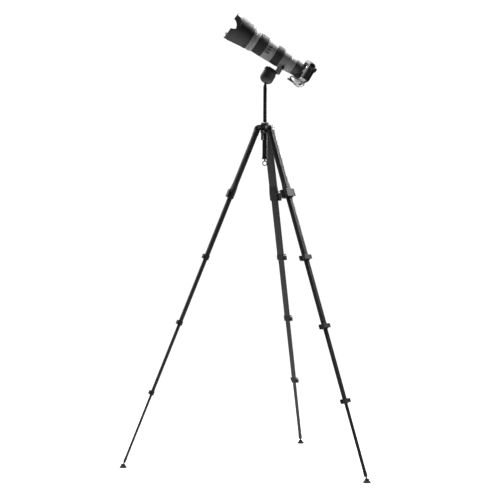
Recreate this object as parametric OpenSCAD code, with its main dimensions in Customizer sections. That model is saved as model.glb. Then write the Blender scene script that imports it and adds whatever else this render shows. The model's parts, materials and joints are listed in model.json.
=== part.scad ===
// Film camera with a long zoom lens on a five-section tripod.
// Origin: on the floor under the column. +Z up, the lens points towards -X over leg 1.

/* [Legs] */
// Length of a leg from its pivot to the ball of its foot
leg_len = 1419; // [1400:1:1440]
// Angle of a spread leg from vertical
leg_angle = 21.8; // [18:0.1:23]
// Distance of each leg pivot from the column axis
pivot_r = 28; // [27:0.5:32]
// Distance of the first flip lock from the pivot, along the leg
lock_1_at = 285; // [280:1:290]
// Distance of the second flip lock from the pivot
lock_2_at = 552; // [545:1:560]
// Distance of the third flip lock from the pivot
lock_3_at = 829; // [820:1:835]
// Distance of the fourth flip lock from the pivot
lock_4_at = 1121; // [1115:1:1125]
// Width of the top tube section across the leg
tube_wide_top = 33.5; // [33:0.1:33.6]
// How much narrower each next section is
tube_wide_step = 4.8; // [4.7:0.1:4.8]
// Thickness of the top tube section along the spread direction
tube_thick_top = 20.4; // [20.4:0.1:20.8]
// How much thinner each next section is
tube_thick_step = 2.9; // [2.8:0.1:2.9]
// Clearance between a tube and the section that slides in it
tube_gap = 0.35; // [0.3:0.05:0.4]
// Height of the first flip lock
lock_1_h = 33; // [32:0.5:34]
// Height of the second flip lock, each lower one is 1 mm shorter
lock_2_h = 19; // [18.5:0.5:20]

/* [Feet] */
// Radius of the rubber foot pad
foot_r = 14.5; // [13:0.5:16]
// Height of the rubber foot
foot_h = 15; // [14:0.5:16]
// Height of the foot's ball centre above the floor
foot_ball_h = 10; // [9.5:0.1:10.5]

/* [Column] */
// Radius of the centre column
column_r = 7.5; // [7:0.1:8]
// Height of the column's top face
column_top = 1486; // [1470:1:1500]
// Length of the centre column
column_len = 196; // [180:1:200]
// Radius of the spider hub
hub_r = 17; // [16:0.1:17]
// Outer radius of the fixed sleeve under the hub
sleeve_r = 10; // [9.5:0.1:12]
// Length of the fixed sleeve below the hub
sleeve_len = 101; // [98:1:110]

/* [Ball head] */
// Height of the ball centre above the floor
ball_h = 1519; // [1515:1:1525]
// Radius of the ball
ball_r = 13; // [12:0.1:13]
// Upward tilt of the lens
lens_tilt = 31; // [0:1:40]
// Radius of the ball's stem
stem_r = 4.3; // [4:0.1:4.4]
// Radius of the head housing
housing_r = 27; // [25:0.5:28]
// Height of the plate's top above the ball centre
plate_top = 46; // [45:0.5:48]

/* [Lens] */
// Height of the lens axis above the ball centre
axis_h = 107; // [105:1:112]
// Radius of the hood's front rim
hood_front_r = 56.5; // [54:0.5:58]
// Radius of the hood's rear end
hood_rear_r = 49; // [48:0.5:50]
// Radius of the focus ring
focus_r = 42; // [41:0.5:44]
// Radius of the zoom ring
zoom_r = 39.5; // [39:0.5:41]
// Radius of the barrel inside the tripod collar
collar_bore_r = 33; // [32:0.5:34]
// Outer radius of the tripod collar
collar_r = 38; // [37:0.5:39]

/* [Camera] */
// Width of the body to the left of the lens axis
body_left = 62; // [60:1:66]
// Width of the body to the right of the lens axis
body_right = 78; // [76:1:82]
// Height of the body below the lens axis
body_below = 35; // [34:0.5:36]
// Height of the body shell above the lens axis
body_above = 24; // [24:0.5:26]
// Height of the top deck above the lens axis
deck_above = 34; // [33:0.5:35]
// Height of the prism hump above the lens axis
hump_above = 50; // [48:0.5:52]
// Corner radius of the body
body_corner = 12; // [10:0.5:13]

/* [Hidden] */
$fn = 64;
hull_fn = 32;
eps = 0.01;
fit = 0.05;
part_gap = 0.3;

// Legs, with one value per section or per lock in each list
leg_az = [180, 300, 60];
tube_wide = [for (i = [0:4]) tube_wide_top - i * tube_wide_step];
tube_thick = [for (i = [0:4]) tube_thick_top - i * tube_thick_step];
lock_at = [lock_1_at, lock_2_at, lock_3_at, lock_4_at];
lock_h = [lock_1_h, lock_2_h, lock_2_h - 1, lock_2_h - 2];
barrel_r = [6, 5, 4.5, 4.5];
tab_reach = [23, 20, 19, 18.5];
pivot_h = foot_ball_h + leg_len * cos(leg_angle);
head_r = 10;
head_w = 20;
shoulder_z = 14;
tube_top = 24;
bolt_r = 3;
overlap = 30;
lock_wall = 2.5;
lock_lip = 3;
ear_t = 3;
pin_r = 1.6;
arm_t = 3.2;
flare_len = 26;
ferrule_len = 26;
foot_ball_r = 5;
foot_neck_r = 2.5;

// Spider
hub_top = pivot_h + 22;
hub_bottom = pivot_h - 23;
lug_in = 10.4;
lug_out = 15.6;
lug_r = 9.5;
column_lever_az = 232;
column_lever_z = hub_bottom + 5;
column_lever_r = hub_r + 6;
lever_w = 8.4;
clevis_w = 14;
clevis_pin_r = 1.5;
column_gap = 0.1;
hook_stud_r = 2;
head_stud_r = 3;

// Ball head stations in the tilted head's own directions
housing_x = 3;
housing_low = -12;
plate_low = 38;
ball_knob_z = 12;
ball_knob_shaft_r = 3;
screw_x = 2;
screw_r = 3.2;
plate_w = 38;

// Lens stations along the lens axis, positive to the rear of the ball centre
hood_tip_x = -226;
hood_rear_x = -134;
nose_x = -146;
notch_r = 31;
notch_depth = 27.5;
notch_up = 8;
focus_x = [-107, -67];
zoom_x = [-24, 8];
collar_x = [10, 38];
knob_x = 31.5;
knob_z = axis_h - 36.5;
collar_boss = 24.5;
collar_knob_r = 2;
focus_bore_r = 37.4;
zoom_bore_r = 35.6;
rear_x = 69;
flange_x = 92;
front_r = 47;
nose_r = 44;
mid_r = 41;
rear_r = 34;
mount_r = 31;
glass_r = 40.8;

// Camera stations along the lens axis
front_x = 110;
back_x = 140;
chamber_front_x = 113;
chamber_x = 127;
cassette_y = -45.5;
spool_y = 58;
throat_r = 22;
base_z = axis_h - body_below;
shell_z = axis_h + body_above;
deck_z = axis_h + deck_above;
hump_z = axis_h + hump_above;
door_t = 3.2;
hinge_y = body_right + 0.2;
hinge_x = back_x + 2.4;
shaft_r = 3;
button_at = [116, 65];
button_r = 2.6;
dial_at = [118.5, 38];
dial_shaft_r = 2.5;
release_at = [-40, axis_h - 6];
release_r = 2;
film_gate = [36, 24];
socket_at = [119, 26];
socket_r = 3.2;
socket_depth = 6;
strap_w = 24;

function tube_bore(i) = i < 4
    ? [tube_wide[i + 1] + 2 * tube_gap, tube_thick[i + 1] + 2 * tube_gap]
    : [tube_wide[4] - 2.4, tube_thick[4] - 2.4];
function section_top(i) = i == 0 ? tube_top : lock_at[i - 1] - overlap;
function section_end(i) = i < 4 ? lock_at[i] + lock_h[i] / 2 - lock_lip : leg_len - ferrule_len;
function arm_outer(i) = tube_thick[i] / 2 + lock_wall + 0.4 + arm_t;
function pin_x(i) = barrel_r[i] - tube_thick[i] / 2 - lock_wall;
function pin_y(i) = -(tube_wide[i] / 2 + lock_wall + barrel_r[i] + 0.5);

// ---- placing ----
module on_leg(n) {
    rotate([0, 0, leg_az[n]]) translate([pivot_r, 0, pivot_h]) rotate([0, -leg_angle, 0]) children();
}

module on_head() {
    translate([0, 0, ball_h]) rotate([0, lens_tilt, 0]) children();
}

// Turns a shape revolved about Z into one revolved about the lens axis
module on_axis() {
    on_head() translate([0, 0, axis_h]) rotate([0, 90, 0]) children();
}

// A hollow ring about the lens axis between two stations
module lens_ring(x, outer, inner) {
    translate([0, 0, x[0]]) difference() {
        cylinder(r = outer, h = x[1] - x[0]);
        translate([0, 0, -1]) cylinder(r = inner, h = x[1] - x[0] + 2);
    }
}

// ---- shared outlines ----
module oval(wide, thick) {
    square([thick, wide - thick], center = true);
    for (s = [-1, 1]) translate([0, s * (wide - thick) / 2]) circle(d = thick);
}

module rounded_slab(x0, x1, y0, y1, r) {
    translate([x0 + r, y0]) square([x1 - x0 - 2 * r, y1 - y0]);
    translate([x0, y0 + r]) square([x1 - x0, y1 - y0 - 2 * r]);
    for (x = [x0 + r, x1 - r], y = [y0 + r, y1 - r]) translate([x, y]) circle(r = r);
}

// ---- legs ----
module leg_head() {
    rotate([90, 0, 0]) cylinder(r = head_r, h = head_w, center = true);
    translate([-head_r, -head_w / 2, -tube_top]) cube([2 * head_r, head_w, tube_top]);
    translate([0, 0, -tube_top - 8]) linear_extrude(tube_top + 8 - shoulder_z)
        oval(tube_wide[0] + 1.6, tube_thick[0] + 1.6);
}

module lock_shell(i) {
    top = -(lock_at[i] - lock_h[i] / 2);
    wide = tube_wide[i] + 2 * lock_wall;
    thick = tube_thick[i] + 2 * lock_wall;
    translate([0, 0, top - lock_h[i]]) linear_extrude(lock_h[i]) oval(wide, thick);
    for (z = [top - ear_t, top - lock_h[i]])
        translate([0, 0, z]) linear_extrude(ear_t) {
            translate([pin_x(i), pin_y(i)]) circle(r = barrel_r[i] - 0.4);
            translate([pin_x(i) - barrel_r[i] + 0.4, pin_y(i)])
                square([2 * barrel_r[i] - 0.8, -pin_y(i) - (tube_wide[i] - tube_thick[i]) / 2]);
        }
    translate([pin_x(i), pin_y(i), top - lock_h[i] + eps]) cylinder(r = pin_r, h = lock_h[i] - 2 * eps);
}

module lock_flare() {
    top = -(lock_at[0] - lock_h[0] / 2);
    hull() {
        translate([0, 0, top - 2]) linear_extrude(2)
            oval(tube_wide[0] + 2 * lock_wall, tube_thick[0] + 2 * lock_wall, $fn = hull_fn);
        translate([0, 0, top + flare_len]) linear_extrude(1)
            oval(tube_wide[0] + 0.8, tube_thick[0] + 0.8, $fn = hull_fn);
    }
}

module grooves(i) {
    long = section_end(i) - section_top(i) + 2;
    for (s = [-1, 1])
        translate([s * tube_thick[i] / 2, 0, -section_end(i) - 1 + long / 2])
            cube([0.7, (tube_wide[i] - tube_thick[i]) * 0.45, long], center = true);
}

module leg_section(n, i) {
    bore = tube_bore(i);
    long = section_end(i) - section_top(i);
    lock_end = i < 4 ? lock_at[i] + lock_h[i] / 2 : 0;
    color(i < 4 ? "dimgray" : "gray") on_leg(n) {
        difference() {
            union() {
                difference() {
                    translate([0, 0, -section_end(i)]) linear_extrude(long)
                        oval(tube_wide[i], tube_thick[i]);
                    grooves(i);
                }
                if (i < 4) lock_shell(i);
                if (i == 0) lock_flare();
                if (i == 0) leg_head();
            }
            if (i == 0) {
                translate([0, 0, -lock_end - 1]) linear_extrude(lock_end - tube_top + 1)
                    oval(bore[0], bore[1]);
                rotate([90, 0, 0]) cylinder(r = bolt_r + fit, h = 2 * tube_wide[0], center = true);
            }
            if (i > 0 && i < 4)
                translate([0, 0, -lock_end - 1]) linear_extrude(lock_end - section_top(i) + 2)
                    oval(bore[0], bore[1]);
            if (i == 4)
                translate([0, 0, -section_end(4) + 3]) linear_extrude(long) oval(bore[0], bore[1]);
        }
        if (i == 4) foot_stem();
    }
}

// The tip of the last section: a ferrule, a neck and the ball that the foot swivels on
module foot_stem() {
    translate([0, 0, -leg_len]) {
        sphere(r = foot_ball_r);
        cylinder(r = foot_neck_r, h = ferrule_len - 10);
        translate([0, 0, ferrule_len - 18]) cylinder(r1 = foot_neck_r, r2 = tube_thick[4] / 2 + 0.6, h = 5);
        translate([0, 0, ferrule_len - 13]) linear_extrude(13 + 8)
            oval(tube_wide[4] + 1.2, tube_thick[4] + 1.2);
    }
}

// The lever turns on the inner corner pin, wraps round the end of the housing and closes over its face
module lever(n, i) {
    top = -(lock_at[i] - lock_h[i] / 2);
    clear = ear_t + 0.3;
    side_y = pin_y(i) + barrel_r[i] - arm_t;
    color("#202022") on_leg(n) translate([0, 0, top - lock_h[i]]) difference() {
        union() {
            translate([0, 0, clear]) linear_extrude(lock_h[i] - 2 * clear) {
                translate([pin_x(i), pin_y(i)]) circle(r = barrel_r[i]);
                translate([pin_x(i), side_y]) square([arm_outer(i) - arm_t - pin_x(i), arm_t]);
                translate([arm_outer(i) - arm_t, side_y + arm_t]) circle(r = arm_t);
            }
            translate([0, 0, 1]) linear_extrude(lock_h[i] - 2) {
                translate([arm_outer(i) - arm_t, side_y + arm_t])
                    square([arm_t, tab_reach[i] - side_y - 1.5 * arm_t]);
                translate([arm_outer(i) - arm_t / 2, tab_reach[i] - arm_t / 2]) circle(r = arm_t / 2);
            }
        }
        translate([pin_x(i), pin_y(i), -1]) cylinder(r = pin_r + fit, h = lock_h[i] + 2);
    }
}

module foot(n) {
    foot_centre_r = pivot_r + leg_len * sin(leg_angle);
    color("#1c1c1c") rotate([0, 0, leg_az[n]]) translate([foot_centre_r, 0, 0]) difference() {
        rotate_extrude() polygon([
            [0, 0], [foot_r - 1, 0], [foot_r, 1], [foot_r, 3.5], [foot_r - 4, 6.5],
            [8.4, 10], [7.6, foot_h - 1], [6.8, foot_h], [0, foot_h]
        ]);
        translate([0, 0, foot_ball_h]) sphere(r = foot_ball_r + fit);
        translate([0, 0, foot_ball_h + 0.2]) cylinder(r1 = 0.6, r2 = 12, h = 7);
        for (a = [0:45:315]) rotate([0, 0, a]) translate([foot_r - 4, 0, -1]) cylinder(r = 1.2, h = 2);
    }
}

// ---- spider and column ----
module hub_lugs() {
    for (a = leg_az, s = [-1, 1])
        rotate([0, 0, a]) translate([0, s > 0 ? lug_in : -lug_out, 0]) {
            translate([pivot_r, 0, pivot_h]) rotate([-90, 0, 0]) cylinder(r = lug_r, h = lug_out - lug_in);
            translate([8, 0, pivot_h - lug_r]) cube([pivot_r - 8, lug_out - lug_in, 2 * lug_r]);
        }
}

module spider() {
    color("#2a2a2c") difference() {
        union() {
            rotate_extrude() polygon([
                [0, hub_bottom], [hub_r - 3, hub_bottom], [hub_r, hub_bottom + 3], [hub_r, hub_top - 8],
                [hub_r - 2, hub_top - 4], [column_r + 4, hub_top], [0, hub_top]
            ]);
            hub_lugs();
            column_lever_place() {
                translate([-9, -clevis_w / 2, -5]) cube([9, clevis_w, 10]);
                rotate([90, 0, 0]) cylinder(r = 5, h = clevis_w, center = true);
            }
        }
        column_lever_place() translate([-6, -lever_w / 2 - part_gap, -10])
            cube([20, lever_w + 2 * part_gap, 20]);
        translate([0, 0, hub_bottom - 1]) cylinder(r = column_r + column_gap, h = hub_top - hub_bottom + 2);
        translate([0, 0, hub_bottom - 1]) cylinder(r = sleeve_r - 1, h = 9);
        for (a = leg_az)
            rotate([0, 0, a]) translate([pivot_r, 0, pivot_h]) rotate([90, 0, 0])
                cylinder(r = bolt_r + fit, h = 2 * tube_wide[0], center = true);
    }
    color("#2a2a2c") column_lever_place() rotate([90, 0, 0])
        cylinder(r = clevis_pin_r, h = clevis_w - 0.2, center = true);
}

module leg_bolts() {
    color("silver") for (a = leg_az)
        rotate([0, 0, a]) translate([pivot_r, 0, pivot_h]) rotate([90, 0, 0]) {
            cylinder(r = bolt_r, h = 2 * lug_out + 4, center = true);
            for (s = [-1, 1]) translate([0, 0, s * (lug_out + 1.6)]) difference() {
                cylinder(r = 5.5, h = 3, center = true);
                translate([0, 0, s * 1.5]) cylinder(r = 2.3, h = 2.4, center = true, $fn = 6);
            }
        }
}

module column_sleeve() {
    color("#3a3a3c") translate([0, 0, hub_bottom - sleeve_len]) difference() {
        union() {
            cylinder(r = sleeve_r, h = sleeve_len);
            cylinder(r = sleeve_r + 1.2, h = 9);
            translate([0, 0, sleeve_len - 0.1]) cylinder(r = sleeve_r - 1, h = 8);
        }
        translate([0, 0, 4]) cylinder(r = column_r + column_gap, h = sleeve_len + 9);
        translate([0, 0, -1]) cylinder(r = hook_stud_r + fit, h = 9);
    }
}

module centre_column() {
    color("#4a4a4c") translate([0, 0, column_top - column_len]) difference() {
        cylinder(r = column_r, h = column_len);
        translate([0, 0, -1]) cylinder(r = column_r - 1.6, h = column_len - 19);
        translate([0, 0, column_len - 13]) cylinder(r = head_stud_r + fit, h = 14);
    }
}

// Places the pivot of the column's flip lever, with X outwards
module column_lever_place() {
    rotate([0, 0, column_lever_az]) translate([column_lever_r, 0, column_lever_z]) children();
}

module column_lever() {
    color("#1c1c1e") column_lever_place() difference() {
        union() {
            rotate([90, 0, 0]) cylinder(r = 4.6, h = lever_w, center = true);
            translate([0, lever_w / 2, 0]) rotate([90, 0, 0]) linear_extrude(lever_w) {
                translate([0.6, -30]) square([4, 30]);
                translate([2.6, -30]) circle(r = 3);
            }
        }
        rotate([90, 0, 0]) cylinder(r = clevis_pin_r + fit, h = 20, center = true);
    }
}

module column_hook() {
    ring_z = hub_bottom - sleeve_len - 17;
    color("silver") {
        translate([0, 0, ring_z]) rotate([90, 0, 0]) rotate_extrude() translate([8.5, 0]) circle(r = 1.9);
        translate([0, 0, ring_z + 8]) cylinder(r = 3.2, h = 8.6);
        translate([0, 0, ring_z + 16]) cylinder(r = hook_stud_r, h = 7);
    }
}

// ---- ball head ----
module ball_stem() {
    color("#8a8a8c") {
        translate([0, 0, ball_h]) sphere(r = ball_r);
        translate([0, 0, column_top + 10]) cylinder(r = stem_r, h = ball_h - column_top - 20);
        rotate_extrude() polygon([
            [0, column_top + 0.2], [column_r, column_top + 0.2], [column_r, column_top + 5],
            [column_r - 0.8, column_top + 8], [stem_r + 0.6, column_top + 12],
            [stem_r, column_top + 13.5], [0, column_top + 13.5]
        ]);
        translate([0, 0, column_top - 12]) cylinder(r = head_stud_r, h = 13);
    }
}

module head_housing() {
    color("#252527") on_head() difference() {
        union() {
            translate([housing_x, 0, 0]) rotate_extrude() polygon([
                [0, housing_low], [14, housing_low], [22, -7], [housing_r, 2], [housing_r, 30],
                [housing_r - 2, 32], [housing_r - 2, 34], [housing_r - 4, plate_low], [0, plate_low]
            ]);
            translate([housing_x, housing_r - 6, ball_knob_z]) rotate([-90, 0, 0]) cylinder(r = 9, h = 9);
        }
        sphere(r = ball_r + fit);
        rotate([90, 0, 0]) translate([0, 0, -5.2]) rotate([0, 0, -152])
            rotate_extrude(angle = 124) translate([9, 0]) square([30, 10.4]);
        translate([housing_x, 10, ball_knob_z]) rotate([-90, 0, 0])
            cylinder(r = ball_knob_shaft_r + fit, h = housing_r);
        translate([screw_x, 0, plate_low - 7]) cylinder(r = screw_r + 0.8, h = 8);
    }
}

module ball_knob() {
    knob_y = housing_r + 3 + part_gap;
    color("#1a1a1c") on_head() translate([housing_x, 0, ball_knob_z]) rotate([-90, 0, 0]) {
        translate([0, 0, 14]) cylinder(r = ball_knob_shaft_r, h = knob_y - 13);
        translate([0, 0, knob_y]) difference() {
            rotate_extrude() polygon([
                [0, 0], [8, 0], [10.5, 3], [11.5, 5], [11.5, 15], [10.5, 17], [0, 17]
            ]);
            for (a = [0:30:330]) rotate([0, 0, a]) translate([13, 0, -1]) cylinder(r = 2.6, h = 20);
        }
    }
}

module quick_plate() {
    color("#303032") on_head() {
        difference() {
            union() {
                translate([-24, -plate_w / 2, plate_low]) cube([50, plate_w, 4.4]);
                translate([-22, -16, plate_low + 4.3]) cube([46, 32, plate_top - plate_low - 4.3]);
                translate([-24, -plate_w / 2, plate_low + 4.3]) cube([2.4, plate_w, 3.2]);
            }
            for (s = [-1, 1])
                translate([-30, s * plate_w / 2, plate_low + 2.2]) rotate([45, 0, 0]) cube([70, 2, 2]);
            translate([screw_x, 0, plate_low - 1]) cylinder(r = screw_r + 0.1, h = 12);
        }
        translate([screw_x, 0, plate_low - 4]) cylinder(r = screw_r, h = 16.5);
    }
}

// ---- lens ----
module tripod_collar() {
    color("#c9c9c6") on_head() difference() {
        union() {
            translate([collar_x[0], 0, axis_h]) rotate([0, 90, 0])
                cylinder(r = collar_r, h = collar_x[1] - collar_x[0]);
            translate([17, -8, plate_top + 3]) cube([21, 16, axis_h - collar_r - plate_top]);
            translate([-14, -13, plate_top]) cube([52, 26, 4.5]);
            translate([knob_x, 0, knob_z]) rotate([90, 0, 0]) cylinder(r = 5, h = collar_boss);
        }
        translate([0, 0, axis_h]) rotate([0, 90, 0]) cylinder(r = collar_bore_r + 0.1, h = 60);
        translate([screw_x, 0, plate_top - 1]) cylinder(r = screw_r + fit, h = 8);
        translate([knob_x, -8, knob_z]) rotate([90, 0, 0]) cylinder(r = collar_knob_r + fit, h = collar_boss);
    }
}

module collar_knob() {
    color("#161618") on_head() translate([knob_x, -collar_boss, knob_z]) rotate([90, 0, 0]) {
        translate([0, 0, -16]) cylinder(r = collar_knob_r, h = 17);
        translate([0, 0, part_gap]) difference() {
            cylinder(r = 6.3, h = 11);
            for (a = [0:36:324]) rotate([0, 0, a]) translate([7.2, 0, -1]) cylinder(r = 1.3, h = 13);
        }
    }
}

module lens_barrel() {
    color("#d2d2ce") on_axis() difference() {
        rotate_extrude() polygon([
            [0, nose_x], [nose_r, nose_x], [nose_r, hood_rear_x + 0.4], [front_r, hood_rear_x + 0.4],
            [front_r, -128], [front_r - 0.8, -127], [front_r - 0.8, -124], [front_r, -123],
            [front_r, -118], [focus_r + 1.5, -110], [focus_r + 1.5, focus_x[0] - 0.4],
            [focus_bore_r - 0.1, focus_x[0] - 0.4], [focus_bore_r - 0.1, focus_x[1] + 0.4],
            [mid_r, focus_x[1] + 0.4], [mid_r, -40], [mid_r - 1, -38], [mid_r - 1, zoom_x[0] - 0.4],
            [zoom_bore_r - 0.1, zoom_x[0] - 0.4], [zoom_bore_r - 0.1, zoom_x[1] + 0.4],
            [collar_bore_r, zoom_x[1] + 0.4], [collar_bore_r, collar_x[1] + 0.4],
            [collar_bore_r + 3, collar_x[1] + 0.4], [collar_bore_r + 3, 46], [rear_r, 48],
            [rear_r, 62], [rear_r - 1.5, rear_x], [0, rear_x]
        ]);
        translate([0, 0, nose_x - 1]) cylinder(r = glass_r + 0.2, h = 34);
        translate([0, 0, nose_x + 32]) cylinder(r1 = 35, r2 = 31, h = 46);
        translate([0, 0, focus_x[1] - 2]) cylinder(r = 30, h = 125);
        translate([0, 0, 50]) cylinder(r = throat_r, h = 30);
    }
}

module grip_ring(x, outer, inner, ribs) {
    color("#222224") on_axis() difference() {
        lens_ring(x, outer, inner);
        for (k = [0:ribs - 1])
            rotate([0, 0, k * 360 / ribs]) translate([outer + 0.3, 0, x[0] + 5])
                cylinder(r = 1.1, h = x[1] - x[0] - 10);
    }
}

module lens_hood() {
    wall = 2.2;
    color("#1d1d1f") on_axis() difference() {
        rotate_extrude() polygon([
            [hood_rear_r - 2.5, hood_rear_x], [hood_rear_r, hood_rear_x - 2], [hood_rear_r, hood_rear_x - 14],
            [hood_front_r, -206], [hood_front_r, hood_tip_x + 1], [hood_front_r - 1, hood_tip_x],
            [hood_front_r - wall, hood_tip_x], [hood_front_r - wall, -206],
            [hood_rear_r - wall, hood_rear_x - 14], [nose_r + 0.1, hood_rear_x - 12],
            [nose_r + 0.1, hood_rear_x]
        ]);
        translate([-notch_up, 0, hood_tip_x + notch_depth - notch_r]) rotate([90, 0, 0])
            cylinder(r = notch_r, h = 200, center = true);
    }
}

// Front element with a domed face, and a flat rear element
module lens_glass() {
    color("lightsteelblue", 0.5) on_axis() {
        translate([0, 0, nose_x + 18]) rotate_extrude() polygon([
            [0, 0], for (k = [0:8]) [k * glass_r / 8, 4 * pow(k / 8, 2)], [glass_r, 13], [0, 13]
        ]);
        translate([0, 0, 52]) cylinder(r = throat_r - fit, h = 4);
    }
}

module lens_mount() {
    color("#1b1b1d") on_axis() difference() {
        union() {
            translate([0, 0, rear_x]) cylinder(r = mount_r + 1, h = 6);
            translate([0, 0, rear_x]) cylinder(r = mount_r, h = flange_x - rear_x);
            translate([0, 0, flange_x - 1]) cylinder(r = throat_r + 1.5, h = 5);
        }
        translate([0, 0, rear_x - 1]) cylinder(r = throat_r, h = 40);
    }
}

// ---- camera ----
module body_outline() {
    rounded_slab(front_x, back_x, -body_left, body_right, body_corner);
}

module box_between(x, y, z) {
    translate([x[0], y[0], z[0]]) cube([x[1] - x[0], y[1] - y[0], z[1] - z[0]]);
}

module camera_body() {
    color("#1e1e20") on_head() difference() {
        union() {
            translate([0, 0, base_z]) linear_extrude(shell_z - base_z) body_outline();
            intersection() {
                translate([flange_x, 0, axis_h]) rotate([0, 90, 0])
                    cylinder(r = 33, h = front_x - flange_x + 1);
                box_between([flange_x, front_x + 1], [-40, 40], [base_z + 2, shell_z]);
            }
            box_between([flange_x + 4, front_x + 1], [-27, 27], [base_z + 6, shell_z]);
        }
        // Film chambers, film channel, mirror box and film gate
        box_between([chamber_front_x, back_x + 1], [-body_left + 3.5, -32.5], [base_z + 4, shell_z - 4]);
        box_between([chamber_front_x, back_x + 1], [43, body_right - 3.5], [base_z + 4, shell_z - 4]);
        box_between([back_x - 3, back_x + 1], [-body_left + 6, body_right - 6], [base_z + 4, shell_z - 4]);
        box_between([flange_x + 4, back_x - 6], [-20, 20], [axis_h - 20, axis_h + 21]);
        box_between([back_x - 7, back_x], [-film_gate[0] / 2, film_gate[0] / 2],
            [axis_h - film_gate[1] / 2, axis_h + film_gate[1] / 2]);
        translate([flange_x - 1, 0, axis_h]) rotate([0, 90, 0]) cylinder(r = throat_r + 1.6, h = 6);
        // Tripod socket, rewind and wind shafts, lens release bore
        translate([socket_at[0], socket_at[1], base_z - 1]) cylinder(r = socket_r, h = socket_depth + 1);
        translate([chamber_x, cassette_y, shell_z - 5]) cylinder(r = shaft_r + fit, h = 7);
        translate([chamber_x, spool_y, shell_z - 5]) cylinder(r = shaft_r + fit, h = 7);
        translate([front_x - 1, release_at[0], release_at[1]]) rotate([0, 90, 0])
            cylinder(r = release_r + fit, h = 6);
    }
}

module hump_shape(d) {
    intersection() {
        translate([flange_x, 0, 0]) rotate([90, 0, 90]) linear_extrude(60) polygon([
            [-27 + d, shell_z - 1], [-27 + d, deck_z], [-15 + d, hump_z - d],
            [15 - d, hump_z - d], [27 - d, deck_z], [27 - d, shell_z - 1]
        ]);
        translate([0, 40, 0]) rotate([90, 0, 0]) linear_extrude(80) polygon([
            [flange_x + 5 + d, shell_z - 1], [flange_x + 5 + d, hump_z - 9], [flange_x + 11 + d, hump_z - d],
            [back_x - 8 - d, hump_z - d], [back_x + 3 - d, hump_z - 13], [back_x + 3 - d, shell_z - 1]
        ]);
    }
}

module top_cover() {
    color("#b9b9b6") on_head() difference() {
        union() {
            translate([0, 0, shell_z]) linear_extrude(deck_z - shell_z) body_outline();
            intersection() {
                hump_shape(0);
                box_between([flange_x, back_x + 5], [-40, 40], [shell_z, hump_z + 1]);
            }
            box_between([back_x, back_x + 4], [-11, 11], [deck_z - 8, deck_z + 7]);
        }
        difference() {
            hump_shape(2);
            box_between([0, 200], [-60, 60], [0, shell_z + 2]);
        }
        box_between([back_x - 6, back_x + 5], [-8, 8], [deck_z - 5, deck_z + 4]);
        translate([chamber_x, cassette_y, shell_z - 1]) cylinder(r = shaft_r + fit, h = 20);
        translate([chamber_x, spool_y, shell_z - 1]) cylinder(r = shaft_r + fit, h = 20);
        translate([button_at[0], button_at[1], deck_z - 6]) cylinder(r = button_r + fit, h = 8);
        translate([dial_at[0], dial_at[1], deck_z - 5]) cylinder(r = dial_shaft_r + fit, h = 8);
    }
}

module back_door() {
    color("#1b1b1d") on_head() {
        difference() {
            union() {
                box_between([back_x + part_gap, back_x + part_gap + door_t],
                    [-body_left + 2, body_right - 2], [base_z + 1.5, shell_z - 1]);
                translate([hinge_x, hinge_y, base_z + 1.5]) cylinder(r = 2, h = shell_z - base_z - 2.5);
                box_between([back_x + 1, back_x + part_gap + door_t], [body_right - 3, hinge_y],
                    [base_z + 1.5, shell_z - 1]);
            }
            translate([hinge_x, hinge_y, base_z]) cylinder(r = 0.8, h = shell_z);
        }
        box_between([back_x - 0.8, back_x + part_gap + 0.1], [-24, 24], [axis_h - 15, axis_h + 15]);
    }
}

module mirror() {
    color("silver") on_head() translate([back_x - 9, 0, axis_h + 17]) rotate([0, -45, 0]) {
        translate([-30, -18, -0.8]) cube([30, 36, 1.6]);
        rotate([90, 0, 0]) cylinder(r = 1.4, h = 39, center = true);
    }
}

module film_cassette() {
    color("goldenrod") on_head() translate([chamber_x, cassette_y, base_z + 5]) difference() {
        union() {
            translate([0, 0, 1]) cylinder(r = 12.2, h = 45);
            for (z = [0, 44]) translate([0, 0, z]) cylinder(r = 12.7, h = 2);
            translate([0, 11, 3]) cube([12.2, 2, 39]);
            cylinder(r = 5.5, h = 48.5);
        }
        translate([0, 0, 30]) cylinder(r = 3.1, h = 30);
    }
}

module take_up_spool() {
    color("#2a2a2c") on_head() translate([chamber_x, spool_y, base_z + 4.5]) difference() {
        union() {
            cylinder(r = 7.5, h = 49.5);
            for (z = [0, 8, 40, 48]) translate([0, 0, z]) cylinder(r = 9.5, h = 1.5);
        }
        translate([-1, 0, 14]) cube([2, 12, 22]);
    }
}

module rewind_knob() {
    color("silver") on_head() translate([chamber_x, cassette_y, 0]) {
        translate([0, 0, base_z + 42]) cylinder(r = shaft_r, h = deck_z - base_z - 41);
        translate([0, 0, deck_z + part_gap]) cylinder(r = 10.5, h = 2.4);
        difference() {
            translate([0, 0, deck_z + part_gap]) cylinder(r = 8.5, h = 6);
            for (a = [0:20:340]) rotate([0, 0, a]) translate([9, 0, deck_z + 3]) cylinder(r = 0.9, h = 5);
            translate([-1.2, -10, deck_z + 5]) cube([2.4, 20, 3]);
        }
    }
}

module wind_lever() {
    lever_z = deck_z + part_gap;
    color("silver") on_head() translate([chamber_x, spool_y, 0]) {
        translate([0, 0, shell_z - 3.6]) cylinder(r = shaft_r, h = deck_z - shell_z + 5);
        translate([0, 0, lever_z]) cylinder(r = 7.5, h = 4.5);
        translate([0, 0, lever_z + 0.7]) linear_extrude(2.6) {
            translate([3, -24]) square([5, 24]);
            translate([6.5, -24]) circle(r = 3.8);
        }
        translate([6.5, -24, lever_z]) cylinder(r = 3.4, h = 5);
    }
}

module shutter_button() {
    color("silver") on_head() translate([button_at[0], button_at[1], 0]) {
        translate([0, 0, deck_z - 3.5]) cylinder(r = button_r, h = 6);
        translate([0, 0, deck_z + 2.4]) cylinder(r = 3.6, h = 1.4);
    }
}

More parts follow.
